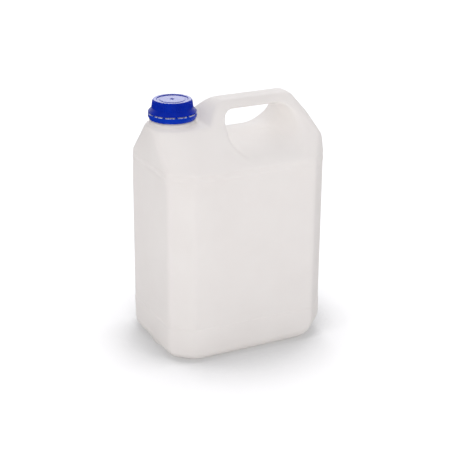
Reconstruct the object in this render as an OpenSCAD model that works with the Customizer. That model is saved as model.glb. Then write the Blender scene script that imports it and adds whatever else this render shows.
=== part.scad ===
// Blow-moulded jug for five litres of radiator fluid, standing on its base.
// The base is centred on the origin, X runs along the broad face from the neck
// end (-X) to the handle end (+X), Y is the depth and Z points up.

/* [Body] */
// Length of the body along the broad face
body_l = 185; // [176:1:194]
// Depth of the body from face to face
body_w = 137; // [130:1:144]
// Height of the upright walls, up to the start of the shoulders
wall_h = 210; // [195:1:225]
// Size of the 45 degree cut on each upright corner
corner_cut = 22; // [17:1:26]
// Rounding of the upright edges
corner_r = 10; // [7:0.5:10.5]
// Thickness of the blown wall
wall = 1.3; // [1.1:0.1:1.6]
// Radius of the bottom edge at the neck end
heel_r_neck = 11; // [10.5:0.5:16]
// Radius of the bottom edge at the handle end
heel_r_handle = 21; // [16:1:26]
// Radius of the bottom edge along the front and back
heel_r_side = 14; // [12:1:17]
// How much deeper the corner cut gets towards the base, neck end
toe_neck = 2; // [0:0.5:4]
// How much deeper the corner cut gets towards the base, handle end
toe_handle = 7.5; // [4:0.5:9]

/* [Label panel and base] */
// Depth of the recess for the label, which runs round the whole body
panel_depth = 0.6; // [0.3:0.1:0.9]
// Height of the lower edge of the label recess
panel_low = 38; // [34:1:46]
// Distance from the upper edge of the label recess to the shoulder
panel_drop = 7; // [5:0.5:10]
// Depth of the push-up in the middle of the base
base_push = 3; // [2:0.5:4]
// Width of the flat rim that the jug stands on
base_rim = 9; // [7:0.5:11]
// Height of the parting line left by the two mould halves
seam_h = 0.3; // [0.2:0.1:0.4]
// Width of the parting line
seam_w = 0.8; // [0.6:0.1:1.2]

/* [Shoulder and handle] */
// Height from the shoulder line up to the neck platform
shoulder_h = 38; // [35:1:41]
// How much higher the walls reach at the neck end
end_lift = 2.2; // [0:0.2:4]
// Radius of the round platform under the neck
platform_r = 29.5; // [28.5:0.5:31]
// Height of the handle's top above the neck platform
handle_rise = 20.5; // [18:0.5:23]
// Half the width between the rounded upper edges of the handle
handle_half = 9; // [8:0.5:10.5]
// Rounding of the handle's upper edges
handle_r = 6; // [5:0.5:7]
// Rounding between the handle's slope and the upright end
slope_r = 14.3; // [11:0.1:17]
// Height of that rounding's centre above the upright walls
slope_rise = 12.5; // [9:0.5:15]
// Rounding of the handle's corner above the neck platform
brow_r = 20; // [14:1:24]
// Distance from the body's end to the foot of the wall behind the neck
niche_l = 57; // [56:0.5:60]
// Lean of that wall, in degrees from upright
niche_lean = 40; // [32:1:44]
// Thickness of the pillar between that wall and the finger hole
pillar = 17; // [15:0.5:20]
// Distance from the finger hole to the body's handle end
hole_end = 23; // [21:0.5:27]
// Height of the finger hole's rim below the neck platform
hole_drop = 29.6; // [27:0.5:31]
// Height of the finger hole's rim above the neck platform
hole_rise = 12.3; // [11:0.5:13]
// Height of the handle's underside above the platform, half way through
grip_under = 5; // [3.5:0.5:6]
// Depth of the finger hole's floor below the platform, half way through
grip_floor = 22.8; // [21:0.5:25]

/* [Neck] */
// Distance from the body's end to the neck's axis
neck_end = 28; // [27:0.5:30]
// Height of the neck's lip above its platform
neck_h = 23.1; // [22.6:0.1:24]
// Radius of the bore that the fluid is poured through
neck_bore_r = 15; // [13:0.5:15.5]
// Radius of the neck between the threads
neck_r = 17.4; // [17.2:0.1:17.6]
// Radius of the bead that holds the tamper band down
bead_r = 23.2; // [22.9:0.1:23.4]
// Radius of the collar at the foot of the neck
collar_r = 25.8; // [25:0.1:27]
// Height of the collar above the platform
collar_h = 3.6; // [2.5:0.1:4]
// Rise of the thread in one turn
lead = 5; // [4.6:0.1:5.4]
// Height of the thread's tooth from its root
tooth_h = 1.2; // [1:0.05:1.3]
// Running gap between the neck and the cap
thread_gap = 0.35; // [0.3:0.05:0.4]

/* [Cap] */
// Thickness of the cap's top plate
cap_plate = 1.8; // [1.5:0.1:2.2]
// Thickness of the sealing disc
liner_t = 1.2; // [0.8:0.1:1.5]
// Outer radius of the cap at its top
cap_top_r = 20.2; // [20.1:0.1:20.6]
// Outer radius of the cap where its skirt meets the flange
cap_foot_r = 21.5; // [21.3:0.1:22]
// Radius of the flange at the cap's lower edge
flange_r = 25.3; // [25.1:0.1:25.5]
// Number of fine grip ribs
rib_n = 60; // [48:2:66]
// Height of a grip rib
rib_h = 0.4; // [0.3:0.05:0.5]
// Radius of the recessed disc on the cap's top
dish_r = 16.8; // [16:0.1:17.5]
// Radius of the gate dimple in the middle of the cap's top
gate_r = 2.4; // [1.5:0.1:3]
// Depth of that dimple
gate_depth = 1.2; // [0.8:0.1:1.3]

/* [Tamper band] */
// Height of the tamper band
band_h = 6.3; // [6:0.1:6.5]
// Outer radius of the tamper band
band_r = 25.5; // [25.4:0.1:26]
// Width of the slit between band and cap
slit = 0.9; // [0.7:0.1:1.1]
// Number of thin bridges across the slit
bridge_n = 12; // [8:1:16]
// Width of one bridge
bridge_w = 1.4; // [1:0.1:1.8]

/* [Hidden] */
half_l = body_l / 2;
half_w = body_w / 2;
platform_z = wall_h + shoulder_h;
handle_z = platform_z + handle_rise;
neck_x = -half_l + neck_end;
lip_z = platform_z + neck_h;
niche_x = -half_l + niche_l;
niche_top = niche_x + handle_rise * tan(niche_lean);
hole_x0 = niche_x + pillar;
hole_x1 = half_l - hole_end;
// The front shoulder leans in by this much per millimetre of height
lean = (half_w - platform_r) / shoulder_h;
// Factor from a wall offset to a sideways offset on the shoulder
slant = sqrt(1 + lean * lean);
// Centres of the spheres at the upper edge of the upright walls
ring_z = wall_h - corner_r * (slant - 1) / lean;
corner_c = half_l + half_w - corner_cut - corner_r * sqrt(2);
corner_y = corner_c - (half_l - corner_r);
corner_x = corner_c - (half_w - corner_r);
// Cap and band stack up from the platform
band_z = platform_z + 5.6;
band_top = band_z + band_h;
lip_t = 2;
bead_z = band_z + lip_t;
flange_z = band_top + slit;
flange_h = 4.5;
cap_z = lip_z + liner_t + cap_plate;
cap_bore = neck_r + tooth_h + thread_gap;
cap_crest = neck_r + thread_gap;
neck_thread_z = lip_z - 9;
cap_thread_z = lip_z - 4.6;
seg = 10;
over = 0.4;

// Outline of the body seen from above, drawn in by inset on every side
module plan(inset) {
    r = max(corner_r - inset, 2);
    m = r + inset;
    a = half_l - m;
    b = half_w - m;
    c = half_l + half_w - corner_cut - inset * sqrt(2) - r * sqrt(2);
    offset(r = r)
        polygon([for (q = [[a, c - a], [c - b, b], [b - c, b], [-a, c - a],
                           [-a, a - c], [b - c, -b], [c - b, -b], [a, a - c]]) q]);
}

// Sphere at one corner of the body, mirrored front to back
module pair(x, y, z, r) {
    for (s = [-1, 1]) translate([x, s * y, z]) sphere(r = r, $fn = $inside ? 24 : 32);
}

// Rounded bottom edge at one end of the body
module heel(side, heel_r, toe, g) {
    for (a = [0 : 22.5 : 90]) {
        x = half_l - heel_r + (heel_r - corner_r) * sin(a);
        z = heel_r - (heel_r - corner_r) * cos(a);
        dz = max(heel_r_side - z, 0);
        y = half_w - heel_r_side + sqrt(pow(heel_r_side - corner_r, 2) - min(dz * dz,
            pow(heel_r_side - corner_r, 2)));
        q = toe * (1 - sin(a));
        pair(side * x, corner_y - q, z, corner_r - g);
        pair(side * (x + corner_y - q - y), y, z, corner_r - g);
    }
}

// Convex envelope of body, shoulders and handle, drawn in by g
module envelope(g) {
    $inside = g > 0;
    hull() {
        heel(-1, heel_r_neck, toe_neck, g);
        heel(1, heel_r_handle, toe_handle, g);
        for (s = [-1, 1]) {
            pair(s * corner_x, half_w - corner_r, ring_z, corner_r - g);
            pair(s * (half_l - corner_r), corner_y, ring_z + (s < 0 ? end_lift : 0),
                corner_r - g);
        }
        // Round platform round the neck
        translate([neck_x, 0, platform_z - 1]) scale([0.94, 1, 1])
            cylinder(r = platform_r - slant * g, h = 1, $fn = g > 0 ? 48 : 80);
        // Slope down from the handle to the end of the body
        pair(half_l - slope_r, corner_y - 6, wall_h + slope_rise, slope_r - g);
        pair(half_l - 12, handle_half * 2.1, platform_z - 4.5, handle_r - g);
        pair(half_l - 26, handle_half, handle_z - handle_r, handle_r - g);
        pair(niche_x + 4, handle_half, handle_z - handle_r, handle_r - g);
    }
}

// Side view of what is cut away above the neck platform
module niche_side(g) {
    offset(delta = g)
        offset(r = -4) offset(delta = 4)
            difference() {
                translate([-body_l, platform_z]) square([body_l * 2, 60]);
                offset(r = brow_r) offset(delta = -brow_r)
                    polygon([[niche_x, platform_z], [niche_top, handle_z],
                             [body_l * 2, handle_z], [body_l * 2, 0],
                             [niche_x - 60, 0], [niche_x - 60, platform_z - 60]]);
                translate([niche_x + 45, 0]) square([body_l * 2, 400]);
            }
}

module niche(g) {
    translate([0, body_w, 0]) rotate([90, 0, 0])
        linear_extrude(body_w * 2) niche_side(g);
}

// Outline of the finger hole where it meets the shoulder, seen from the front
module hole_rim(g) {
    top = platform_z + hole_rise;
    low = platform_z - hole_drop;
    for (d = [[hole_x0 + 13.8, top - 13.8, 13.8], [hole_x0 + 24.5, low + 24.6, 24.6],
              [hole_x1 - 16.5, top - 0.3 - 16.5, 16.5], [hole_x1 - 22, low + 22.4, 21.8]])
        translate([d[0], d[1]]) circle(r = d[2] + g, $fn = g > 0 ? 28 : 44);
}

// Outline of the finger hole half way through the handle
module hole_mid(g) {
    r = 10.5;
    for (x = [hole_x0 + 5 + r, hole_x1 - 7 - r], z = [-grip_floor + r, grip_under - r])
        translate([x, platform_z + z]) circle(r = r + g, $fn = g > 0 ? 28 : 44);
}

// The rim laid parallel to the sloping shoulder of one face, out mm in front of it
module rim_plate(s, g, out) {
    multmatrix([[1, 0, 0, 0],
                [0, 1, -lean * s, s * (platform_r + out + lean * platform_z)],
                [0, 0, 1, 0]])
        rotate([90, 0, 0]) linear_extrude(0.5, center = true) hole_rim(g);
}

module finger_hole(g) {
    for (s = [-1, 1]) {
        hull() {
            rotate([90, 0, 0]) linear_extrude(1, center = true) hole_mid(g);
            rim_plate(s, g, 1.5);
        }
        hull() {
            rim_plate(s, g, 1.5);
            rim_plate(s, g, 50);
        }
    }
}

// Shallow recess for the label round the upright walls
module label_recess(g) {
    difference() {
        translate([0, 0, panel_low]) linear_extrude(wall_h - panel_drop - panel_low)
            plan(-3);
        linear_extrude(wall_h) plan(panel_depth + g);
    }
}

// Corners of the flat base, drawn in by d from the standing rim's outer edge
function base_corners(d) = let (x0 = -half_l + heel_r_neck + d, x1 = half_l - heel_r_handle - d,
    y = half_w - heel_r_side - d, c = corner_cut * 0.7)
    [for (s = [-1, 1]) each [[x0, s * (y - c)], [x0 + c, s * y], [x1 - c, s * y],
                             [x1, s * (y - c)]]];

// Push-up in the base
module push_up(g) {
    hull() {
        for (q = base_corners(base_rim + 3))
            translate([q[0], q[1], -1]) cylinder(r = 3 + g, h = 1, $fn = 24);
        for (q = base_corners(base_rim + 9))
            translate([q[0], q[1], -1]) cylinder(r = 3 + g, h = 1 + base_push + g, $fn = 24);
    }
}

module shell(g) {
    difference() {
        envelope(g);
        niche(g);
        finger_hole(g * 1.15);
        label_recess(g);
        push_up(g);
    }
}

// Parting line on the ends, the shoulders and the handle
module seam() {
    difference() {
        intersection() {
            envelope(-seam_h);
            translate([-body_l, -seam_w / 2, 30]) cube([body_l * 2, seam_w, 400]);
        }
        envelope(wall / 2);
        niche(-seam_h);
        finger_hole(-seam_h);
        translate([neck_x, 0, platform_z - 3]) cylinder(r = collar_r - 1, h = 40, $fn = 48);
    }
    // Pinched seam across the push-up
    translate([-half_l + heel_r_neck + 18, -seam_w, base_push - 0.8])
        cube([body_l - heel_r_neck - heel_r_handle - 36, seam_w * 2, 1.4]);
}

// Neck seen in section, from the platform up to the lip
module neck_solid() {
    translate([neck_x, 0, 0]) rotate_extrude($fn = 80)
        polygon([[0, platform_z - 1], [collar_r + 0.4, platform_z - 1],
                 [collar_r, platform_z + 0.6], [collar_r - 0.2, platform_z + collar_h - 0.8],
                 [collar_r - 1, platform_z + collar_h], [21.4, platform_z + collar_h + 0.4],
                 [20.6, platform_z + collar_h + 1], [20.6, bead_z], [bead_r, bead_z],
                 [bead_r, bead_z + 1.8], [20.9, bead_z + 3.8], [neck_r + 0.4, bead_z + 4.6],
                 [neck_r, bead_z + 5.2], [neck_r, lip_z - 0.7], [neck_r - 0.6, lip_z],
                 [0, lip_z]]);
}

module neck_hollow() {
    translate([neck_x, 0, 0]) rotate_extrude($fn = 48)
        polygon([[0, platform_z - 6], [23.4, platform_z - 6], [23.4, platform_z + 1.4],
                 [18.4, platform_z + collar_h + 1], [18.4, bead_z + 1],
                 [neck_bore_r, bead_z + 4], [neck_bore_r, lip_z - 0.6],
                 [neck_bore_r + 0.5, lip_z], [neck_bore_r + 0.5, lip_z + 1], [0, lip_z + 1]]);
}

// One slice of a thread tooth: root and crest radius, height and width at angle a
module slice(root, crest, z, w, a) {
    rotate([90, 0, a]) linear_extrude(0.02, center = true)
        polygon([[root, z - w], [crest, z - w / 2], [crest, z + w / 2], [root, z + w]]);
}

// Right-hand thread; the tooth swells in and fades out over three slices
module thread(root, crest, w, z0, start, turns) {
    n = turns * 360 / seg;
    depth = crest - root;
    function swell(i) = min(1, (i + 0.6) / 3.6, (n - i + 0.6) / 3.6);
    for (i = [0 : n - 1])
        hull() {
            slice(root, root + depth * swell(i), z0 + lead * i / n * turns,
                w, start + i * seg);
            slice(root, root + depth * swell(i + 1), z0 + lead * (i + 1) / n * turns,
                w, start + (i + 1) * seg);
        }
}

module jug_body() {
    color([0.92, 0.91, 0.89]) difference() {
        union() {
            shell(0);
            seam();
            neck_solid();
            translate([neck_x, 0, 0])
                thread(neck_r - over, neck_r + tooth_h, 1.35, neck_thread_z, 200, 1.5);
        }
        shell(wall);
        neck_hollow();
    }
}

// Cap seen in section: skirt, flange, raised rim, recessed disc and gate dimple
module cap_side() {
    polygon([[0, cap_z - gate_depth], [gate_r - 0.6, cap_z - gate_depth],
             [gate_r, cap_z - 0.4],
             [dish_r - 3.6, cap_z - 0.4], [dish_r - 3.2, cap_z - 0.8],
             [dish_r - 0.8, cap_z - 0.8], [dish_r, cap_z],
             [cap_top_r - 1, cap_z], [cap_top_r - 0.3, cap_z - 0.3],
             [cap_top_r, cap_z - 1], [cap_foot_r, flange_z + flange_h],
             [cap_foot_r + 0.4, flange_z + flange_h - 0.5],
             [flange_r - 0.3, flange_z + 1.1], [flange_r, flange_z + 0.6],
             [flange_r, flange_z], [0, flange_z]]);
}

module cap_hollow() {
    rotate_extrude($fn = 60)
        polygon([[0, flange_z - 1], [flange_r - 1.4, flange_z - 1],
                 [flange_r - 1.4, flange_z + 0.8], [cap_bore + 0.8, flange_z + flange_h - 0.6],
                 [cap_bore, flange_z + flange_h], [cap_bore, cap_z - cap_plate],
                 [0, cap_z - cap_plate]]);
}

// Ring of fine upright ribs that follows the skirt's slope
module ribs() {
    low = flange_z + flange_h - 0.2;
    high = cap_z - 1.3;
    fall = (cap_foot_r - cap_top_r) / (cap_z - 1 - flange_z - flange_h);
    r_low = cap_foot_r + fall * 0.2;
    r_high = cap_top_r + fall * 0.3;
    step = 360 / rib_n;
    translate([0, 0, low]) linear_extrude(high - low, scale = r_high / r_low)
        polygon([for (i = [0 : rib_n - 1], q = [[0.1, 0], [0.35, 1], [0.65, 1], [0.9, 0]])
            (r_low - 0.1 + (rib_h + 0.1) * q[1]) *
                [cos((i + q[0]) * step), sin((i + q[0]) * step)]]);
}

module cap() {
    color([0.02, 0.12, 0.66]) translate([neck_x, 0, 0]) {
        difference() {
            union() {
                rotate_extrude($fn = 72) cap_side();
                ribs();
            }
            cap_hollow();
        }
        thread(cap_bore + over, cap_crest, 1.1, cap_thread_z, 200 + (cap_thread_z -
            neck_thread_z - lead / 2) / lead * 360, 0.75);
    }
}

module tamper_ring() {
    color([0.02, 0.16, 0.7]) translate([neck_x, 0, 0]) {
        rotate_extrude($fn = 96)
            polygon([[21.4, band_z + 0.5], [21.9, band_z], [band_r - 1.2, band_z],
                     [band_r, band_z + 2.8], [band_r, band_top - 0.3],
                     [band_r - 0.3, band_top], [bead_r + 0.4, band_top],
                     [bead_r + 0.4, bead_z + 0.3], [bead_r + 0.1, bead_z], [21.4, bead_z]]);
        for (i = [0 : bridge_n - 1])
            rotate([0, 0, (i + 0.5) * 360 / bridge_n])
                translate([band_r - 1.4, -bridge_w / 2, band_top - 0.5])
                    cube([0.9, bridge_w, slit + 0.45]);
    }
}

module seal_liner() {
    color([0.93, 0.93, 0.92]) translate([neck_x, 0, lip_z])
        cylinder(r = neck_r + 0.2, h = liner_t, $fn = 96);
}

jug_body();
cap();
tamper_ring();
seal_liner();
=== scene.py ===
"""Translucent white blow-moulded jug with a blue tamper-evident screw cap, on a white sweep."""

import math

import bpy
import numpy as np
from mathutils import Matrix, Vector


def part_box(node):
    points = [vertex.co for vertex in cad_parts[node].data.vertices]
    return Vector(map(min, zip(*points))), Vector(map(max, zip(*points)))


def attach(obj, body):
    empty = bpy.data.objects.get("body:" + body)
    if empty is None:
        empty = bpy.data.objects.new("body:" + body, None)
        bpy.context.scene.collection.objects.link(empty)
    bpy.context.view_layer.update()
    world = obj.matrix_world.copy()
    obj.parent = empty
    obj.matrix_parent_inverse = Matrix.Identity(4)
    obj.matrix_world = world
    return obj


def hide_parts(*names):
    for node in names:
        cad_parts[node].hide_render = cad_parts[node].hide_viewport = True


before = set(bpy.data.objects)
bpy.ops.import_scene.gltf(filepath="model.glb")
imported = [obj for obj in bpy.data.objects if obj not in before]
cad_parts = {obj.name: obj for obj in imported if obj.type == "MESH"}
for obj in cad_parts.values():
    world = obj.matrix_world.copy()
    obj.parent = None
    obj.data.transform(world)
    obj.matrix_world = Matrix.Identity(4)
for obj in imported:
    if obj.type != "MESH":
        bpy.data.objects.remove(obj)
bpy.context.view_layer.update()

MM = 0.001

# Sizes in mm, those of the frame's solids but for the collar and the grip hole's rim
BODY_L, BODY_W, WALL_H, SHOULDER_H = 185.0, 137.0, 210.0, 38.0
CORNER_CUT, CORNER_R = 22.0, 10.0
HEEL_NECK, HEEL_HANDLE, HEEL_SIDE = 11.0, 21.0, 14.0
TOE_NECK, TOE_HANDLE, END_LIFT, SLOPE_R, SLOPE_RISE = 2.0, 7.5, 2.2, 14.3, 12.5
PLATFORM_R, PLATFORM_FLAT = 29.5, 0.94
HANDLE_RISE, HANDLE_HALF, HANDLE_R = 20.5, 9.0, 6.0
BROW_R, NICHE_L, NICHE_LEAN, PILLAR, HOLE_END = 20.0, 57.0, 40.0, 17.0, 23.0
HOLE_DROP, HOLE_RISE, GRIP_UNDER, GRIP_FLOOR = 30.4, 12.3, 7.0, 22.3
HALF_L, HALF_W = BODY_L / 2, BODY_W / 2
PLATFORM_Z = WALL_H + SHOULDER_H
HANDLE_Z = PLATFORM_Z + HANDLE_RISE
NECK_X = -HALF_L + 28.0
LIP_Z = PLATFORM_Z + 23.1
NICHE_X = -HALF_L + NICHE_L
HOLE_X0, HOLE_X1 = NICHE_X + PILLAR, HALF_L - HOLE_END
LEAN = (HALF_W - PLATFORM_R) / SHOULDER_H
PANEL_LOW, PANEL_TOP, PANEL_DEPTH = 38.0, 203.0, 0.5
BASE_PUSH, BASE_RIM = 3.0, 9.0
PARTING_W, PARTING_H = 0.42, 0.22
COLLAR_R, COLLAR_H, COLLAR_FILLET = 24.4, 4.4, 3.2
NECK_R, BORE_R, BEAD_R, LEAD, TOOTH_H, THREAD_GAP = 17.4, 15.0, 23.2, 5.0, 1.2, 0.35
BAND_Z = PLATFORM_Z + 5.6
BAND_TOP = BAND_Z + 6.3
BAND_R, BRIDGES, BRIDGE_W = 25.5, 12, 1.4
BEAD_Z = BAND_Z + 2.0
FLANGE_Z = BAND_TOP + 0.9
FLANGE_H, FLANGE_R = 4.5, 25.3
CAP_Z = LIP_Z + 1.2 + 1.8
CAP_PLATE, CAP_TOP_R, CAP_FOOT_R, DISH_R, RIBS, RIB_H = 1.8, 20.2, 21.5, 16.8, 60, 0.4
GATE_R, GATE_DEPTH = 2.4, 1.2
CAP_BORE = NECK_R + TOOTH_H + THREAD_GAP
CAP_CREST = NECK_R + THREAD_GAP
NECK_THREAD_Z, CAP_THREAD_Z = LIP_Z - 9.0, LIP_Z - 4.6
THREAD_START = 200
# The skin stays this far inside the solids' faceted spheres and above the floor
INSET = 0.06
# Softness of the blown edges: everywhere, and at the neck end's outer corners
BLUR, BLUR_NECK_END = 2.3, 4.2


# Camera at the photograph's angle

def make_camera():
    azimuth, elevation, roll = math.radians(-27), math.radians(21.5), math.radians(0.4)
    target, distance = Vector((-1.37, 0, 122.0)) * MM, 1365.7 * MM
    back = Vector((math.sin(azimuth) * math.cos(elevation),
                   -math.cos(azimuth) * math.cos(elevation), math.sin(elevation)))
    right = Vector((math.cos(azimuth), math.sin(azimuth), 0))
    up = back.cross(right)
    turned = math.cos(roll) * right + math.sin(roll) * up
    upright = -math.sin(roll) * right + math.cos(roll) * up
    camera = bpy.data.objects.new("camera", bpy.data.cameras.new("camera"))
    bpy.context.collection.objects.link(camera)
    place = Matrix((turned, upright, back)).transposed().to_4x4()
    place.translation = target + back * distance
    camera.matrix_world = place
    camera.data.sensor_width = 36
    camera.data.lens = 99.16
    bpy.context.scene.camera = camera


# Shader helpers

def colour(text):
    """Linear colour from an sRGB hex value."""
    parts = [int(text[i:i + 2], 16) / 255 for i in (1, 3, 5)]
    return [p / 12.92 if p <= 0.04045 else ((p + 0.055) / 1.055) ** 2.4 for p in parts] + [1]


def add(tree, kind, settings=None, **links):
    """Adds a node; a link is an output socket, anything else is a plain value."""
    made = tree.nodes.new("ShaderNode" + kind)
    for name, value in (settings or {}).items():
        setattr(made, name, value)
    for name, value in links.items():
        key = int(name[1:]) if name[0] == "i" and name[1:].isdigit() else name.replace("_", " ")
        if isinstance(value, bpy.types.NodeSocket):
            tree.links.new(value, made.inputs[key])
        else:
            made.inputs[key].default_value = value
    return made


def new_material(name):
    material = bpy.data.materials.new(name)
    material.use_nodes = True
    material.node_tree.nodes.clear()
    return material, material.node_tree


def blown_hdpe():
    """Natural polyethylene, blown against a sand-blasted mould: milky, with a soft sheen."""
    material, tree = new_material("blown_natural_hdpe")
    place = add(tree, "TexCoord").outputs["Object"]
    # Milkier where the wall is thicker
    cloud = add(tree, "TexNoise", Vector=place, Scale=1 / (45 * MM), Detail=3.0)
    tone = add(tree, "ValToRGB", Fac=cloud.outputs["Fac"])
    tone.color_ramp.elements[0].position, tone.color_ramp.elements[1].position = 0.32, 0.68
    tone.color_ramp.elements[0].color = colour("#F2EFED")
    tone.color_ramp.elements[1].color = colour("#F6F4F2")
    # The mould's peel and blasted grain, and streaks that the parison's die drew upwards
    peel = add(tree, "TexNoise", Vector=place, Scale=1 / (1.6 * MM)).outputs["Fac"]
    sand = add(tree, "TexNoise", Vector=place, Scale=1 / (0.35 * MM), Detail=1.0)
    drawn = add(tree, "Mapping", Vector=place, Scale=(1, 1, 0.012))
    streak = add(tree, "TexNoise", Vector=drawn.outputs["Vector"], Scale=1 / (2.6 * MM))
    bump = add(tree, "Bump", Height=peel, Strength=0.10, Distance=0.10 * MM)
    bump = add(tree, "Bump", Height=streak.outputs["Fac"], Strength=0.12, Distance=0.12 * MM,
               Normal=bump.outputs["Normal"])
    bump = add(tree, "Bump", Height=sand.outputs["Fac"], Strength=0.12, Distance=0.03 * MM,
               Normal=bump.outputs["Normal"])
    gloss = add(tree, "MapRange", Value=peel, From_Min=0.3, From_Max=0.7, To_Min=0.40,
                To_Max=0.50)
    skin = add(tree, "BsdfPrincipled", Base_Color=tone.outputs["Color"],
               Roughness=gloss.outputs["Result"], Normal=bump.outputs["Normal"])
    skin.inputs["IOR"].default_value = 1.53
    skin.inputs["Specular IOR Level"].default_value = 0.35
    # Light crosses the thin wall and fills the hollow jug
    through = add(tree, "BsdfTranslucent", Color=colour("#FBF9F7"), Normal=bump.outputs["Normal"])
    both = add(tree, "MixShader", Fac=0.42, i1=skin.outputs["BSDF"], i2=through.outputs["BSDF"])
    add(tree, "OutputMaterial", Surface=both.outputs[0])
    return material


def slit_highlight_mask(tree, place):
    """1 on the slit's cut edge, 0 elsewhere and at the bridges: the knife's whitening there,
    brightened into a painted highlight.
    """
    part = add(tree, "SeparateXYZ", Vector=place)
    height = add(tree, "MapRange", Value=part.outputs["Z"], From_Min=(BAND_TOP - 0.55) * MM,
                 From_Max=(BAND_TOP - 0.4) * MM)
    across = add(tree, "Math", {"operation": "SUBTRACT"}, i0=part.outputs["X"], i1=NECK_X * MM)
    turn = add(tree, "Math", {"operation": "ARCTAN2"}, i0=part.outputs["Y"],
               i1=across.outputs["Value"])
    steps = add(tree, "Math", {"operation": "MULTIPLY"}, i0=turn.outputs["Value"],
                i1=BRIDGES / (2 * math.pi))
    apart = add(tree, "Math", {"operation": "PINGPONG"}, i0=steps.outputs["Value"], i1=0.5)
    clear = add(tree, "MapRange", Value=apart.outputs["Value"], From_Min=0.30, From_Max=0.40,
                To_Min=1, To_Max=0)
    # Breaks the painted highlight into uneven dashes
    dash_noise = add(tree, "TexNoise", Vector=place, Scale=1 / (2.2 * MM), Detail=1.0)
    broken_dashes = add(tree, "MapRange", Value=dash_noise.outputs["Fac"], From_Min=0.40, From_Max=0.55,
               To_Min=0.15, To_Max=1)
    mask = add(tree, "Math", {"operation": "MULTIPLY"}, i0=height.outputs["Result"],
               i1=clear.outputs["Result"])
    return add(tree, "Math", {"operation": "MULTIPLY"}, i0=mask.outputs["Value"],
               i1=broken_dashes.outputs["Result"]).outputs["Value"]


def moulded_cap_plastic(name="moulded_blue_polyethylene", deep="#0022A0", light="#022AAC",
                        slit=False):
    """Blue polyethylene, injection-moulded: satin sides and a polished top."""
    material, tree = new_material(name)
    coordinates = add(tree, "TexCoord")
    place = coordinates.outputs["Object"]
    cloud = add(tree, "TexNoise", Vector=place, Scale=1 / (9 * MM))
    tone = add(tree, "ValToRGB", Fac=cloud.outputs["Fac"])
    tone.color_ramp.elements[0].position, tone.color_ramp.elements[1].position = 0.3, 0.7
    tone.color_ramp.elements[0].color = colour(deep)
    tone.color_ramp.elements[1].color = colour(light)
    shown = tone.outputs["Color"]
    if slit:
        # Painted highlight: near-white dashes along the slit's edge
        shown = add(tree, "MixRGB", Fac=slit_highlight_mask(tree, place), Color1=shown,
                    Color2=colour("#F4F8FF")).outputs["Color"]
    fine = add(tree, "TexNoise", Vector=place, Scale=1 / (0.45 * MM)).outputs["Fac"]
    bump = add(tree, "Bump", Height=fine, Strength=0.15, Distance=0.03 * MM)
    gloss = add(tree, "MapRange", Value=fine, From_Min=0.3, From_Max=0.7, To_Min=0.20,
                To_Max=0.27)
    # The faces that look up are polished
    up = add(tree, "SeparateXYZ", Vector=coordinates.outputs["Normal"])
    polish = add(tree, "MapRange", Value=up.outputs["Z"], From_Min=0.6, From_Max=0.9,
                 To_Max=0.4)
    skin = add(tree, "BsdfPrincipled", Base_Color=shown, Roughness=gloss.outputs["Result"],
               Normal=bump.outputs["Normal"], Coat_Weight=polish.outputs["Result"])
    skin.inputs["IOR"].default_value = 1.51
    skin.inputs["Specular IOR Level"].default_value = 0.12
    skin.inputs["Coat Roughness"].default_value = 0.22
    add(tree, "OutputMaterial", Surface=skin.outputs["BSDF"])
    return material


def foamed_liner():
    """Foamed polyethylene, cut from sheet: matt white with fine closed cells."""
    material, tree = new_material("foamed_polyethylene_liner")
    place = add(tree, "TexCoord").outputs["Object"]
    cells = add(tree, "TexVoronoi", Vector=place, Scale=1 / (0.5 * MM)).outputs["Distance"]
    tone = add(tree, "ValToRGB", Fac=cells)
    tone.color_ramp.elements[0].color = colour("#EFEFEC")
    tone.color_ramp.elements[1].color = colour("#F6F6F4")
    bump = add(tree, "Bump", Height=cells, Strength=0.4, Distance=0.06 * MM)
    skin = add(tree, "BsdfPrincipled", Base_Color=tone.outputs["Color"], Roughness=0.7,
               Normal=bump.outputs["Normal"])
    add(tree, "OutputMaterial", Surface=skin.outputs["BSDF"])
    return material


# Mesh helpers

def make_piece(name, parts, material):
    """One object from lists of vertices in mm, faces and vertex normals."""
    verts = np.concatenate([p[0] for p in parts])
    normals = np.concatenate([p[2] for p in parts])
    faces, first = [], 0
    for points, polygons, _ in parts:
        for group in polygons:
            faces += (group + first).tolist()
        first += len(points)
    mesh = bpy.data.meshes.new(name)
    mesh.from_pydata((verts * MM).tolist(), [], faces)
    mesh.polygons.foreach_set("use_smooth", [True] * len(mesh.polygons))
    mesh.normals_split_custom_set_from_vertices(normals.tolist())
    mesh.materials.append(material)
    mesh.update()
    piece = bpy.data.objects.new(name, mesh)
    bpy.context.collection.objects.link(piece)
    return piece


def rounded(corners, steps=4):
    """Polyline through (r, z, fillet radius) corners, with each corner rounded."""
    points = []
    for i, (r, z, fillet) in enumerate(corners):
        here = np.array([r, z])
        if fillet <= 0 or i in (0, len(corners) - 1):
            points.append(here)
            continue
        before, after = np.array(corners[i - 1][:2]) - here, np.array(corners[i + 1][:2]) - here
        la, lb = np.linalg.norm(before), np.linalg.norm(after)
        before, after = before / la, after / lb
        half = math.acos(float(np.clip(before @ after, -1, 1))) / 2
        cut = min(fillet / math.tan(half), la * 0.45, lb * 0.45)
        radius = cut * math.tan(half)
        middle = before + after
        centre = here + middle / np.linalg.norm(middle) * radius / math.sin(half)
        a, b = here + before * cut - centre, here + after * cut - centre
        turn = math.pi - 2 * half
        for k in range(steps + 1):
            t = k / steps
            points.append(centre + (math.sin((1 - t) * turn) * a + math.sin(t * turn) * b)
                          / math.sin(turn))
    return np.array(points)


def dense(profile, step):
    """Adds points so that no stretch of the profile is longer than step."""
    out = [profile[0]]
    for a, b in zip(profile[:-1], profile[1:]):
        n = max(1, math.ceil(np.linalg.norm(b - a) / step))
        out += [a + (b - a) * k / n for k in range(1, n + 1)]
    return np.array(out)


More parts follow.
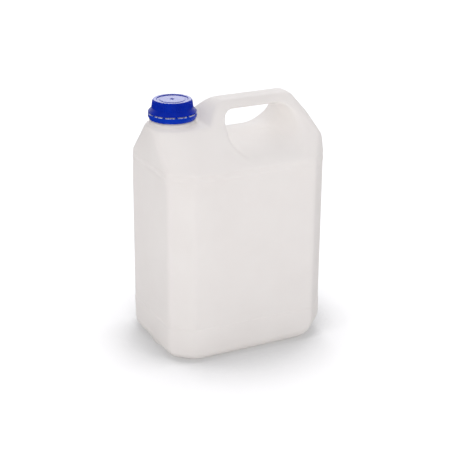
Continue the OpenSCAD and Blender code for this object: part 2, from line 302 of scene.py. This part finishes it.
def finer(profile, step, chosen):
    """Divides each stretch of the profile that is chosen(start, end) into steps."""
    out = [profile[0]]
    for a, b in zip(profile[:-1], profile[1:]):
        n = max(1, round(np.linalg.norm(b - a) / step)) if chosen(a, b) else 1
        out += [a + (b - a) * k / n for k in range(1, n + 1)]
    return np.array(out)


def lathe(profile, segments, shift=None):
    """Turned surface round the neck's axis; shift(angle, r, z) moves a point outwards."""
    angle = np.arange(segments) * 2 * math.pi / segments
    r = np.repeat(profile[:, :1], segments, 1)
    z = np.repeat(profile[:, 1:], segments, 1)
    a = np.repeat(angle[None, :], len(profile), 0)
    if shift is not None:
        r = r + shift(a, r, z)
    grid = np.stack([NECK_X + r * np.cos(a), r * np.sin(a), z], -1)
    along = np.gradient(grid, axis=0)
    around = (np.roll(grid, -1, 1) - np.roll(grid, 1, 1)) / 2
    normal = np.cross(along, around)
    thin = np.linalg.norm(around, axis=-1) < 1e-4
    normal[thin] = (0, 0, 1)
    if thin[-1].any():
        normal[-1] = (0, 0, -1)
    normal /= np.maximum(np.linalg.norm(normal, axis=-1, keepdims=True), 1e-12)
    index = np.arange(grid.shape[0] * segments).reshape(grid.shape[0], segments)
    right = np.roll(index, -1, 1)
    quads = np.stack([index[:-1], index[1:], right[1:], right[:-1]], -1)
    groups, rows = [], slice(0, len(quads))
    top, end = profile[0, 0] < 1e-6, profile[-1, 0] < 1e-6
    if top:
        groups.append(np.stack([np.full(segments, index[0, 0]), index[1], right[1]], -1))
        rows = slice(1, rows.stop)
    if end:
        groups.append(np.stack([index[-2], np.full(segments, index[-1, 0]), right[-2]], -1))
        rows = slice(rows.start, rows.stop - 1)
    groups.append(quads[rows].reshape(-1, 4))
    points, normals = grid.reshape(-1, 3), normal.reshape(-1, 3)
    used = np.unique(np.concatenate([g.ravel() for g in groups]))
    renumber = np.zeros(len(points), int)
    renumber[used] = np.arange(len(used))
    return points[used], [renumber[g] for g in groups], normals[used]


def soft_step(x, low, high):
    t = np.clip((x - low) / (high - low), 0, 1)
    return t * t * (3 - 2 * t)


def thread(angle, z, z0, start, turns, half_width):
    """Height, from 0 to 1, of a right-hand thread tooth that fades in and out."""
    height = np.zeros_like(z)
    for lap in range(int(turns) + 2):
        t = ((np.degrees(angle) - start) % 360) / 360 + lap
        away = np.abs(z - z0 - LEAD * t) / half_width
        tooth = 1 - soft_step(away, 0.42, 1.0)
        swell = soft_step(t, 0, 0.1) * (1 - soft_step(t, turns - 0.1, turns))
        height = np.maximum(height, tooth * swell)
    return height


# The blown body, as a distance field that is blurred like a real moulding's edges

def envelope_spheres():
    """Centres and radii of the spheres that the body's envelope is stretched over."""
    reach = HALF_L + HALF_W - CORNER_CUT - CORNER_R * math.sqrt(2)
    corner_y = reach - (HALF_L - CORNER_R)
    corner_x = reach - (HALF_W - CORNER_R)
    slant = math.sqrt(1 + LEAN * LEAN)
    ring_z = WALL_H - CORNER_R * (slant - 1) / LEAN
    found = []

    def pair(x, y, z, r):
        found.extend([(x, y, z, r - INSET), (x, -y, z, r - INSET)])

    for side, heel, toe in ((-1, HEEL_NECK, TOE_NECK), (1, HEEL_HANDLE, TOE_HANDLE)):
        for a in np.radians(np.arange(0, 91, 11.25)):
            x = HALF_L - heel + (heel - CORNER_R) * math.sin(a)
            z = heel - (heel - CORNER_R) * math.cos(a)
            deep = (HEEL_SIDE - CORNER_R) ** 2
            y = HALF_W - HEEL_SIDE + math.sqrt(deep - min(max(HEEL_SIDE - z, 0) ** 2, deep))
            q = toe * (1 - math.sin(a))
            pair(side * x, corner_y - q, z, CORNER_R)
            pair(side * (x + corner_y - q - y), y, z, CORNER_R)
        pair(side * corner_x, HALF_W - CORNER_R, ring_z, CORNER_R)
        pair(side * (HALF_L - CORNER_R), corner_y, ring_z + (END_LIFT if side < 0 else 0),
             CORNER_R)
    pair(HALF_L - SLOPE_R, corner_y - 6, WALL_H + SLOPE_RISE, SLOPE_R)
    pair(HALF_L - 12, HANDLE_HALF * 2.1, PLATFORM_Z - 4.5, HANDLE_R)
    pair(HALF_L - 26, HANDLE_HALF, HANDLE_Z - HANDLE_R, HANDLE_R)
    pair(NICHE_X + 4, HANDLE_HALF, HANDLE_Z - HANDLE_R, HANDLE_R)
    for a in np.arange(32) * math.pi / 16:
        found.append((NECK_X + PLATFORM_R * PLATFORM_FLAT * math.cos(a),
                      PLATFORM_R * math.sin(a), PLATFORM_Z - INSET, 0))
    return np.array(found)


def tangent_planes(spheres):
    """Planes that touch three of the spheres and have all the others behind them."""
    c, r = spheres[:, :3], spheres[:, 3]
    n = len(c)
    i, j, k = (m.ravel() for m in np.meshgrid(*[np.arange(n)] * 3, indexing="ij"))
    keep = (i < j) & (j < k)
    i, j, k = i[keep], j[keep], k[keep]
    found = []
    for part in range(0, len(i), 20000):
        a, b, d = (m[part:part + 20000] for m in (i, j, k))
        u, v = c[b] - c[a], c[d] - c[a]
        w = np.cross(u, v)
        ww = (w * w).sum(1)
        good = ww > 1e-3
        u, v, w, ww, a, b, d = (m[good] for m in (u, v, w, ww, a, b, d))
        p = r[a] - r[b]
        q = r[a] - r[d]
        base = (np.cross(v, w) * p[:, None] + np.cross(w, u) * q[:, None]) / ww[:, None]
        rest = 1 - (base * base).sum(1)
        good = rest > 0
        for sign in (-1, 1):
            normal = base[good] + sign * (w[good].T * np.sqrt(rest[good] / ww[good])).T
            high = (normal * c[a[good]]).sum(1) + r[a[good]]
            behind = (normal @ c.T + r[None, :] <= high[:, None] + 1e-4).all(1)
            found.append(np.c_[normal[behind], high[behind]])
    found = np.concatenate(found)
    _, first = np.unique(np.round(found, 3), axis=0, return_index=True)
    return found[first]


def niche_wall(x, z):
    slope = math.radians(NICHE_LEAN)
    return -math.cos(slope) * (x - NICHE_X) + math.sin(slope) * (z - PLATFORM_Z)


def niche_keep(x, z):
    """Side view: above zero where the material beside the neck is left out."""
    slope = math.radians(NICHE_LEAN)
    # The brow's arc has its centre BROW_R behind the wall and the handle's top
    cz = HANDLE_Z - BROW_R
    cx = NICHE_X + (math.sin(slope) * (cz - PLATFORM_Z) + BROW_R) / math.cos(slope)
    dx, dz = x - cx, z - cz
    on_arc = (dx < 0) & (-dx * math.sin(slope) < dz * math.cos(slope))
    corner = np.where(on_arc, np.hypot(dx, dz) - BROW_R,
                      np.maximum(niche_wall(x, z), z - HANDLE_Z))
    return np.minimum(z - PLATFORM_Z + INSET, corner)


def smooth_samples(field, old, new, sigma):
    """Gaussian blur and resampling of a field, one axis at a time."""
    for axis, (o, m) in enumerate(zip(old, new)):
        weight = np.exp(-((m[:, None] - o[None, :]) / sigma) ** 2 / 2)
        weight /= weight.sum(1, keepdims=True)
        field = np.moveaxis(np.tensordot(weight, field, (1, axis)), 0, axis)
    return field


def steps_between(*stops):
    """Coordinates from stop to stop, given as position, step, position, step, position."""
    out = [float(stops[0])]
    for i in range(1, len(stops) - 1, 2):
        a, step, b = out[-1], stops[i], stops[i + 1]
        n = max(1, round((b - a) / step))
        out += [a + (b - a) * k / n for k in range(1, n + 1)]
    return np.array(out)


def round_max(a, b, r):
    """Larger of two fields, with a rounded edge of radius r."""
    return (np.minimum(np.maximum(a, b), -r)
            + np.hypot(np.maximum(a + r, 0), np.maximum(b + r, 0)))


def round_min(a, b, r):
    return -round_max(-a, -b, r)


def flare(y, reach):
    """0 in the middle of the handle, 1 at reach mm to the front or back."""
    return (np.sqrt(y * y + 9) - 3) / (math.sqrt(reach * reach + 9) - 3)


def finger_hole(x, y, z):
    """Below zero inside the grip hole, which flares from its middle to each face."""
    to_top, to_side, to_low = flare(y, 17), flare(y, 36), (y / 60) ** 2
    top = PLATFORM_Z + GRIP_UNDER + (HOLE_RISE - GRIP_UNDER) * to_top
    # The floor rises a little towards the handle's end
    low = (PLATFORM_Z - GRIP_FLOOR - (HOLE_DROP - GRIP_FLOOR) * to_low
           + 0.065 * np.maximum(x - 8, 0) * np.maximum(1 - to_low, 0))
    left = HOLE_X0 + 5 - 5 * to_side
    right = HOLE_X1 - 7 + 3.5 * to_side
    split = top - 10.6 - 6.2 * to_top
    px, up = x - (left + right) / 2, z > split
    r_up = np.where(px < 0, 10.5 + 3.3 * to_top, 10.5 + 6.0 * to_top)
    r_low = np.where(px < 0, 10.5 + 14.1 * to_low, 18.0 + 4.4 * to_low)
    r = np.where(up, r_up, np.minimum(r_low, split - low))
    qx = np.abs(px) - (right - left) / 2 + r
    qz = np.where(up, z - top, low - z) + r
    return (np.minimum(np.maximum(qx, qz), 0)
            + np.hypot(np.maximum(qx, 0), np.maximum(qz, 0)) - r)


def body_field(xs, ys, zs):
    """Signed field of the shell's outside in mm, below zero inside, on a grid."""
    step, spare = 1.75, 8.1
    old = (np.arange(-HALF_L - 8, HALF_L + spare, step), np.arange(0.0, HALF_W + spare, step),
           np.arange(-8, HANDLE_Z + spare, step))
    field = np.full([len(o) for o in old], -1e3, np.float32)
    for nx, ny, nz, high in tangent_planes(envelope_spheres()).astype(np.float32):
        plane = (nx * old[0].astype(np.float32)[:, None, None]
                 + ny * old[1].astype(np.float32)[None, :, None]
                 + (nz * old[2].astype(np.float32) - high)[None, None, :])
        np.maximum(field, plane, out=field)
    field = np.maximum(field, niche_keep(old[0][:, None], old[2][None, :])[:, None, :])
    both = np.concatenate([field[:, :0:-1], field], 1)
    old = (old[0], np.concatenate([-old[1][:0:-1], old[1]]), old[2])
    x, y, z = xs[:, None, None], ys[None, :, None], zs[None, None, :]
    # The parison stretched thinner and rounder into the outer corners of the neck's end
    rounder = (soft_step(-x, 52, 74) * np.maximum(1 - soft_step(z, 22, 40),
                                                  soft_step(z, 178, 200)
                                                  * (1 - soft_step(z, 232, 242))))
    field = smooth_samples(both, old, (xs, ys, zs), BLUR)
    softer = smooth_samples(both, old, (xs, ys, zs), BLUR_NECK_END)
    field = field + rounder * (softer - field)
    # The foot of the wall beside the neck stays crisp
    foot = np.minimum(np.minimum(niche_wall(x, z), z - PLATFORM_Z + INSET),
                      PLATFORM_Z + 9 - z)
    field = round_max(field, foot, 0.5)
    # Foot of the neck's collar, with a fillet into the platform
    radius = np.hypot(x - NECK_X, y)
    collar = np.maximum(radius - (COLLAR_R - 0.5), z - (PLATFORM_Z + COLLAR_H - 1.3))
    field = np.where(radius < 40, round_min(field, collar, COLLAR_FILLET), field)
    # Label recess round the upright walls, with a fine bead along its top edge
    panel = (soft_step(z, PANEL_LOW - 0.7, PANEL_LOW + 0.7)
             * (1 - soft_step(z, PANEL_TOP - 5.5, PANEL_TOP - 0.4)))
    groove = (soft_step(z, PANEL_TOP + 0.3, PANEL_TOP + 1.4)
              * (1 - soft_step(z, PANEL_TOP + 4.4, PANEL_TOP + 6.2)))
    field = field + PANEL_DEPTH * panel + 0.4 * groove
    # Grip hole, crisp along its upper left rim and soft where the flare is wide
    hole = finger_hole(x, y, z)
    soft = 1.6 + 3.6 * soft_step((x - HOLE_X0) * 0.8 - (z - PLATFORM_Z), 20, 75)
    field = round_max(field, -hole, soft)
    # Push-up in the base
    base = np.maximum(np.maximum(-x - HALF_L + HEEL_NECK, x - HALF_L + HEEL_HANDLE),
                      np.abs(y) - HALF_W + HEEL_SIDE)
    mid = (HEEL_NECK - HEEL_HANDLE) / 2
    cut = (np.abs(x - mid) + np.abs(y) - (HALF_L - (HEEL_NECK + HEEL_HANDLE) / 2) - HALF_W
           + HEEL_SIDE + CORNER_CUT * 0.7) / math.sqrt(2)
    dish = BASE_PUSH * soft_step(-round_max(base, cut, 6.0), BASE_RIM, BASE_RIM + 7)
    field = round_max(field, dish + INSET - z, 0.4)
    # Parting line: a fine ridge over the ends, shoulders and handle
    ridge = np.exp(-(y / PARTING_W) ** 2) * soft_step(z, 26, 34)
    field = field - PARTING_H * ridge * (radius > COLLAR_R)
    # Nothing stands proud of the solid's own box at its ends and sides
    low, high = [np.array(corner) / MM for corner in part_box("jug_body")]
    field = np.maximum(field, np.maximum(low[0] + 0.02 - x, x - high[0] + 0.02))
    return np.maximum(field, np.abs(y) - high[1] + 0.02)


def at_points(field, axes, points):
    """Trilinear value of a field at points in mm."""
    cell, part = [], []
    for a, p in zip(axes, points.T):
        i = np.clip(np.searchsorted(a, p) - 1, 0, len(a) - 2)
        cell.append(i)
        part.append((p - a[i]) / (a[i + 1] - a[i]))
    value = 0
    for corner in range(8):
        bits = [corner >> m & 1 for m in range(3)]
        weight = np.prod([f if b else 1 - f for f, b in zip(part, bits)], axis=0)
        value = value + weight * field[tuple(c + b for c, b in zip(cell, bits))]
    return value


def surface_net(field, axes):
    """Quads over the zero surface of a field on a grid with uneven steps."""
    inside = field < 0
    corners = [inside[bx:bx + inside.shape[0] - 1, by:by + inside.shape[1] - 1,
                      bz:bz + inside.shape[2] - 1]
               for bx in (0, 1) for by in (0, 1) for bz in (0, 1)]
    count = sum(c.astype(np.int8) for c in corners)
    cells = np.argwhere((count > 0) & (count < 8))
    number = np.full(count.shape, -1)
    number[tuple(cells.T)] = np.arange(len(cells))
    total, hits = np.zeros((len(cells), 3)), np.zeros(len(cells))
    for axis in range(3):
        for step in range(4):
            start = cells.copy()
            start[:, (axis + 1) % 3] += step & 1
            start[:, (axis + 2) % 3] += step >> 1
            end = start.copy()
            end[:, axis] += 1
            f0, f1 = field[tuple(start.T)], field[tuple(end.T)]
            cross = (f0 < 0) != (f1 < 0)
            t = np.where(cross, f0 / np.where(cross, f0 - f1, 1), 0)
            spot = np.stack([a[s] for a, s in zip(axes, start.T)], 1)
            spot[:, axis] += t * (axes[axis][end[:, axis]] - axes[axis][start[:, axis]])
            total[cross] += spot[cross]
            hits[cross] += 1
    points = total / hits[:, None]
    slope = np.gradient(field, *axes)
    for _ in range(2):
        g = np.stack([at_points(s, axes, points) for s in slope], 1)
        points -= (at_points(field, axes, points) / (g * g).sum(1))[:, None] * g
    g = np.stack([at_points(s, axes, points) for s in slope], 1)
    normals = g / np.linalg.norm(g, axis=1, keepdims=True)
    quads = []
    for axis in range(3):
        a1, a2 = (axis + 1) % 3, (axis + 2) % 3
        low = np.take(inside, range(inside.shape[axis] - 1), axis)
        high = np.take(inside, range(1, inside.shape[axis]), axis)
        for flip in (False, True):
            edge = np.argwhere((low & ~high) if not flip else (~low & high))
            edge = edge[(edge[:, a1] > 0) & (edge[:, a2] > 0)]
            ring = []
            for d1, d2 in ((1, 1), (0, 1), (0, 0), (1, 0)):
                c = edge.copy()
                c[:, a1] -= d1
                c[:, a2] -= d2
                ring.append(number[tuple(c.T)])
            ring = np.stack(ring if not flip else ring[::-1], 1)
            quads.append(ring)
    return points, np.concatenate(quads), normals


def body_skin():
    """The shell's outside, on steps that are finer at the parting line and the mould's edges."""
    xs = steps_between(-HALF_L - 3, 1.5, -HALF_L + 22, 1.9, HALF_L - 22, 1.5, HALF_L + 3)
    half = steps_between(0, 0.25, 1.5, 0.5, 3, 2.1, 45, 1.5, HALF_W + 3)
    ys = np.concatenate([-half[:0:-1], half])
    zs = steps_between(-3, 1, 0, 0.5, 1, 1.5, 30, 2.5, 36, 0.4, 40, 2, 46, 5, 194, 1.2, 200, 0.4,
                       211, 1.5, 245, 1.1, 252, 1.6, HANDLE_Z + 3)
    field = body_field(xs, ys, zs)
    points, quads, normals = surface_net(field, (xs, ys, zs))
    # Open under the neck, where neck_skin closes it
    open_top = (np.hypot(points[:, 0] - NECK_X, points[:, 1]) < 21) & (points[:, 2] > WALL_H + 20)
    quads = quads[~open_top[quads].any(1)]
    used = np.unique(quads)
    renumber = np.zeros(len(points), int)
    renumber[used] = np.arange(len(used))
    return points[used], [renumber[quads]], normals[used]


def neck_skin():
    pz, bz, lz = PLATFORM_Z, BEAD_Z, LIP_Z
    outer = rounded([(COLLAR_R - 0.6, pz - 4, 0), (COLLAR_R - 0.1, pz + 2, 0.5),
                     (COLLAR_R - 0.3, pz + COLLAR_H, 1.2), (21.6, pz + COLLAR_H + 0.2, 0.5),
                     (20.6, pz + COLLAR_H + 0.8, 0.2), (20.6, bz, 0.3), (BEAD_R, bz, 0.25),
                     (BEAD_R, bz + 1.8, 0.4), (20.9, bz + 3.8, 0.6), (NECK_R, bz + 5.0, 0.6),
                     (NECK_R, lz, 0.7), (BORE_R, lz, 0.6), (BORE_R, bz + 4, 1.5),
                     (18.4, bz + 1, 1.0), (18.4, pz + COLLAR_H, 1.0), (22.4, pz + 1.4, 1.0),
                     (22.4, pz - 6, 0)])

    def threaded(a, b):
        return abs(a[0] - NECK_R) < 0.2 and abs(b[0] - NECK_R) < 0.2

    def tooth(a, r, z):
        on = (np.abs(r - NECK_R) < 0.2) & (z < LIP_Z - 0.9)
        return on * TOOTH_H * thread(a, z, NECK_THREAD_Z, THREAD_START, 1.5, 1.35)
    return lathe(finer(dense(outer, 1.2), 0.3, threaded)[::-1], 144, tooth)


def cap_skin():
    top, fz = CAP_Z, FLANGE_Z
    outer = rounded([(0, top - GATE_DEPTH - 0.3, 0), (1.0, top - GATE_DEPTH - 0.3, 0.2),
                     (GATE_R - 0.1, top - 0.4, 0.2),
                     (DISH_R - 3.6, top - 0.4, 0.25), (DISH_R - 3.1, top - 0.8, 0.25),
                     (DISH_R - 0.9, top - 0.8, 0.3), (DISH_R, top, 0.35), (CAP_TOP_R, top, 1.1),
                     (CAP_FOOT_R, fz + FLANGE_H, 0.5), (FLANGE_R, fz + 0.7, 0.4),
                     (FLANGE_R, fz, 0.2), (FLANGE_R - 1.4, fz, 0.2),
                     (FLANGE_R - 1.4, fz + 0.8, 0.3), (CAP_BORE + 0.6, fz + FLANGE_H - 0.4, 0.6),
                     (CAP_BORE, fz + FLANGE_H + 0.5, 0.3), (CAP_BORE, top - CAP_PLATE, 0.4),
                     (0, top - CAP_PLATE, 0)])
    # Where the cap's thread starts, to run half a lead above the neck's
    start = THREAD_START + (CAP_THREAD_Z - NECK_THREAD_Z - LEAD / 2) / LEAD * 360

    def ribbed_or_threaded(a, b):
        return abs(b[1] - a[1]) > 0.5 and (abs(a[0] - CAP_BORE) < 0.1
                                           or CAP_TOP_R - 0.6 < a[0] < CAP_FOOT_R)

    def relief(a, r, z):
        phase = (a * RIBS / (2 * math.pi)) % 1
        rib = soft_step(phase, 0.12, 0.34) * (1 - soft_step(phase, 0.66, 0.88))
        low, high = fz + FLANGE_H + 0.3, top - 1.5
        skirt = soft_step(z, low - 0.5, low + 0.3) * (1 - soft_step(z, high - 0.2, high + 0.5))
        outside = r > CAP_TOP_R - 0.4
        inside = np.abs(r - CAP_BORE) < 0.1
        depth = CAP_BORE - CAP_CREST
        return (outside * skirt * RIB_H * rib
                - inside * depth * thread(a, z, CAP_THREAD_Z, start, 0.75, 1.1))
    return lathe(finer(dense(outer, 1.6), 0.4, ribbed_or_threaded), RIBS * 10, relief)


def ring_parts():
    bz, top = BAND_Z, BAND_TOP
    loop = [(21.4, BEAD_Z, 0.15), (21.4, bz + 0.5, 0.3), (21.9, bz, 0.3), (BAND_R - 1.2, bz, 0.4),
            (BAND_R, bz + 2.8, 1.2), (BAND_R, top - 0.5, 0.15), (BAND_R - 0.5, top, 0.15),
            (BEAD_R + 0.4, top, 0.15), (BEAD_R + 0.4, BEAD_Z, 0.2)]
    seam = ((loop[0][0] + loop[-1][0]) / 2, BEAD_Z, 0)
    parts = [lathe(dense(rounded([seam] + loop + [seam]), 1.0)[::-1], 240)]
    # Bridges left across the slit by the cutting knife
    for i in range(BRIDGES):
        middle = (i + 0.5) * 2 * math.pi / BRIDGES
        rows = []
        for z, grow in ((top - 0.5, 0.25), (top - 0.1, 0.12), (top + 0.1, 0), (top + 0.6, 0),
                        (FLANGE_Z - 0.06, 0.1)):
            w, r0, r1 = BRIDGE_W / 2 + grow, BAND_R - 1.4, BAND_R - 0.4 + grow * 0.5
            turn = [(r0, -w), (r1 - 0.2, -w), (r1, -w + 0.2), (r1, w - 0.2), (r1 - 0.2, w), (r0, w)]
            rows.append([(NECK_X + r * math.cos(middle) - s * math.sin(middle),
                          r * math.sin(middle) + s * math.cos(middle), z) for r, s in turn])
        grid = np.array(rows)
        n = grid.shape[1]
        index = np.arange(grid.shape[0] * n).reshape(-1, n)
        right = np.roll(index, -1, 1)
        quads = np.stack([index[:-1], right[:-1], right[1:], index[1:]], -1).reshape(-1, 4)
        out = grid - grid.mean(1, keepdims=True)
        out[..., 2] = 0
        out /= np.linalg.norm(out, axis=-1, keepdims=True)
        parts.append((grid.reshape(-1, 3), [quads], out.reshape(-1, 3)))
    return parts


def liner_skin():
    path = rounded([(0, LIP_Z + 1.19, 0), (NECK_R + 0.15, LIP_Z + 1.19, 0.15),
                    (NECK_R + 0.15, LIP_Z + 0.02, 0.15), (0, LIP_Z + 0.02, 0)])
    return lathe(dense(path, 1.5), 144)


# Studio: white sweep, soft lamps and a bright room behind

def studio_world():
    world = bpy.data.worlds.new("studio")
    bpy.context.scene.world = world
    world.use_nodes = True
    tree = world.node_tree
    tree.nodes.clear()
    path = add(tree, "LightPath")
    seen = add(tree, "Math", {"operation": "MAXIMUM"}, i0=path.outputs["Is Camera Ray"],
               i1=path.outputs["Is Transmission Ray"]).outputs["Value"]
    # A reflection sees the white sweep behind the object and the dimmer room in front of it
    behind = add(tree, "VectorMath", {"operation": "DOT_PRODUCT"},
                 i0=add(tree, "TexCoord").outputs["Generated"], i1=(0.454, 0.891, 0.1))
    sweep = add(tree, "MapRange", Value=behind.outputs["Value"], From_Min=0.3, From_Max=0.85,
                To_Min=0.04, To_Max=1.0)
    glossy = add(tree, "Math", {"operation": "MULTIPLY"}, i0=path.outputs["Is Glossy Ray"],
                 i1=sweep.outputs["Result"]).outputs["Value"]
    white = add(tree, "Math", {"operation": "MAXIMUM"}, i0=seen, i1=glossy).outputs["Value"]
    direct = add(tree, "Math", {"operation": "MAXIMUM"}, i0=seen,
                 i1=path.outputs["Is Glossy Ray"]).outputs["Value"]
    ambient = add(tree, "Background", Color=colour("#F6F6FA"), Strength=0.80)
    shown = add(tree, "Background", Color=(1, 1, 1, 1), Strength=white)
    both = add(tree, "MixShader", Fac=direct, i1=ambient.outputs[0], i2=shown.outputs[0])
    add(tree, "OutputWorld", Surface=both.outputs[0])


def sweep_paper():
    """White background paper, overexposed to white down to a painted shade round the jug's foot."""
    material, tree = new_material("white_sweep")
    path = add(tree, "LightPath")
    seen = add(tree, "Math", {"operation": "MAXIMUM"}, i0=path.outputs["Is Camera Ray"],
               i1=path.outputs["Is Transmission Ray"]).outputs["Value"]
    # Painted shade from occlusion, tilted away from the camera, so that the shade falls forwards as
    # with light from behind
    open_sky = add(tree, "AmbientOcclusion", {"samples": 12}, Distance=0.4,
                   Normal=(0.348, 0.683, 0.643))
    shade = add(tree, "MapRange", Value=open_sky.outputs["AO"], From_Min=0.55, From_Max=0.86,
                To_Min=0.56, To_Max=1.0).outputs["Result"]
    tone = add(tree, "MixRGB", Fac=shade, Color1=(0, 0, 0, 1), Color2=colour("#F2F2F2"))
    matte = add(tree, "BsdfDiffuse", Color=tone.outputs["Color"])
    lift = add(tree, "Math", {"operation": "MULTIPLY"}, i0=seen, i1=0.36)
    strength = add(tree, "Math", {"operation": "MULTIPLY"}, i0=lift.outputs["Value"], i1=shade)
    glow = add(tree, "Emission", Color=(1, 1, 1, 1), Strength=strength.outputs["Value"])
    lit = add(tree, "AddShader", i0=matte.outputs[0], i1=glow.outputs[0])
    # Reflections see it dim
    mirrored = add(tree, "Emission", Color=(1, 1, 1, 1), Strength=0.06)
    both = add(tree, "MixShader", Fac=path.outputs["Is Glossy Ray"], i1=lit.outputs[0],
               i2=mirrored.outputs[0])
    add(tree, "OutputMaterial", Surface=both.outputs[0])
    return material


def softbox(name, place, aim, wide, high, power, tint):
    """Area lamp that faces its aim; sizes in metres, power in watts."""
    lamp = bpy.data.lights.new(name, "AREA")
    lamp.shape, lamp.size, lamp.size_y = "RECTANGLE", wide, high
    lamp.energy, lamp.color = power, colour(tint)[:3]
    holder = bpy.data.objects.new(name, lamp)
    holder.location = place
    holder.rotation_euler = (Vector(aim) - Vector(place)).to_track_quat("-Z", "Y").to_euler()
    bpy.context.collection.objects.link(holder)
    return holder


def studio():
    studio_world()
    mesh = bpy.data.meshes.new("floor")
    reach = 8.0
    mesh.from_pydata([(-reach, -reach, 0), (reach, -reach, 0), (reach, reach, 0),
                      (-reach, reach, 0)], [], [(0, 1, 2, 3)])
    floor = bpy.data.objects.new("floor", mesh)
    bpy.context.collection.objects.link(floor)
    mesh.materials.append(sweep_paper())
    key = softbox("key", (-1.15, -1.62, 0.6), (0, 0, 0.13), 1.2, 1.0, 9.4, "#FFF8F2")
    key.visible_glossy = False
    softbox("back", (0.85, 1.62, 1.05), (0, 0, 0.2), 1.5, 0.8, 7.6, "#FBFBFF")


make_camera()
studio()

hdpe, blue, foam = blown_hdpe(), moulded_cap_plastic(), foamed_liner()
# The band is the cap's plastic painted a lighter blue, as painted light from the floor and through
# its thin wall, with a painted highlight along its slit
lit_band_plastic = moulded_cap_plastic("slit_band_blue_painted_lighter", "#002EAC", "#0036B6", slit=True)
pieces = [
    ("jug_skin", [body_skin(), neck_skin()], hdpe, "jug", "jug_body", "hdpe_body"),
    ("cap_skin", [cap_skin()], blue, "cap", "cap", "cap_blue"),
    ("tamper_band", ring_parts(), lit_band_plastic, "jug", "tamper_ring", "cap_blue"),
    ("liner_disc", [liner_skin()], foam, "liner", "seal_liner", "liner_foam"),
]
for name, parts, material, body, node_name, slot in pieces:
    piece = make_piece(name, parts, material)
    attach(piece, body)
    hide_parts(node_name)

bpy.context.scene.view_settings.view_transform = "Standard"
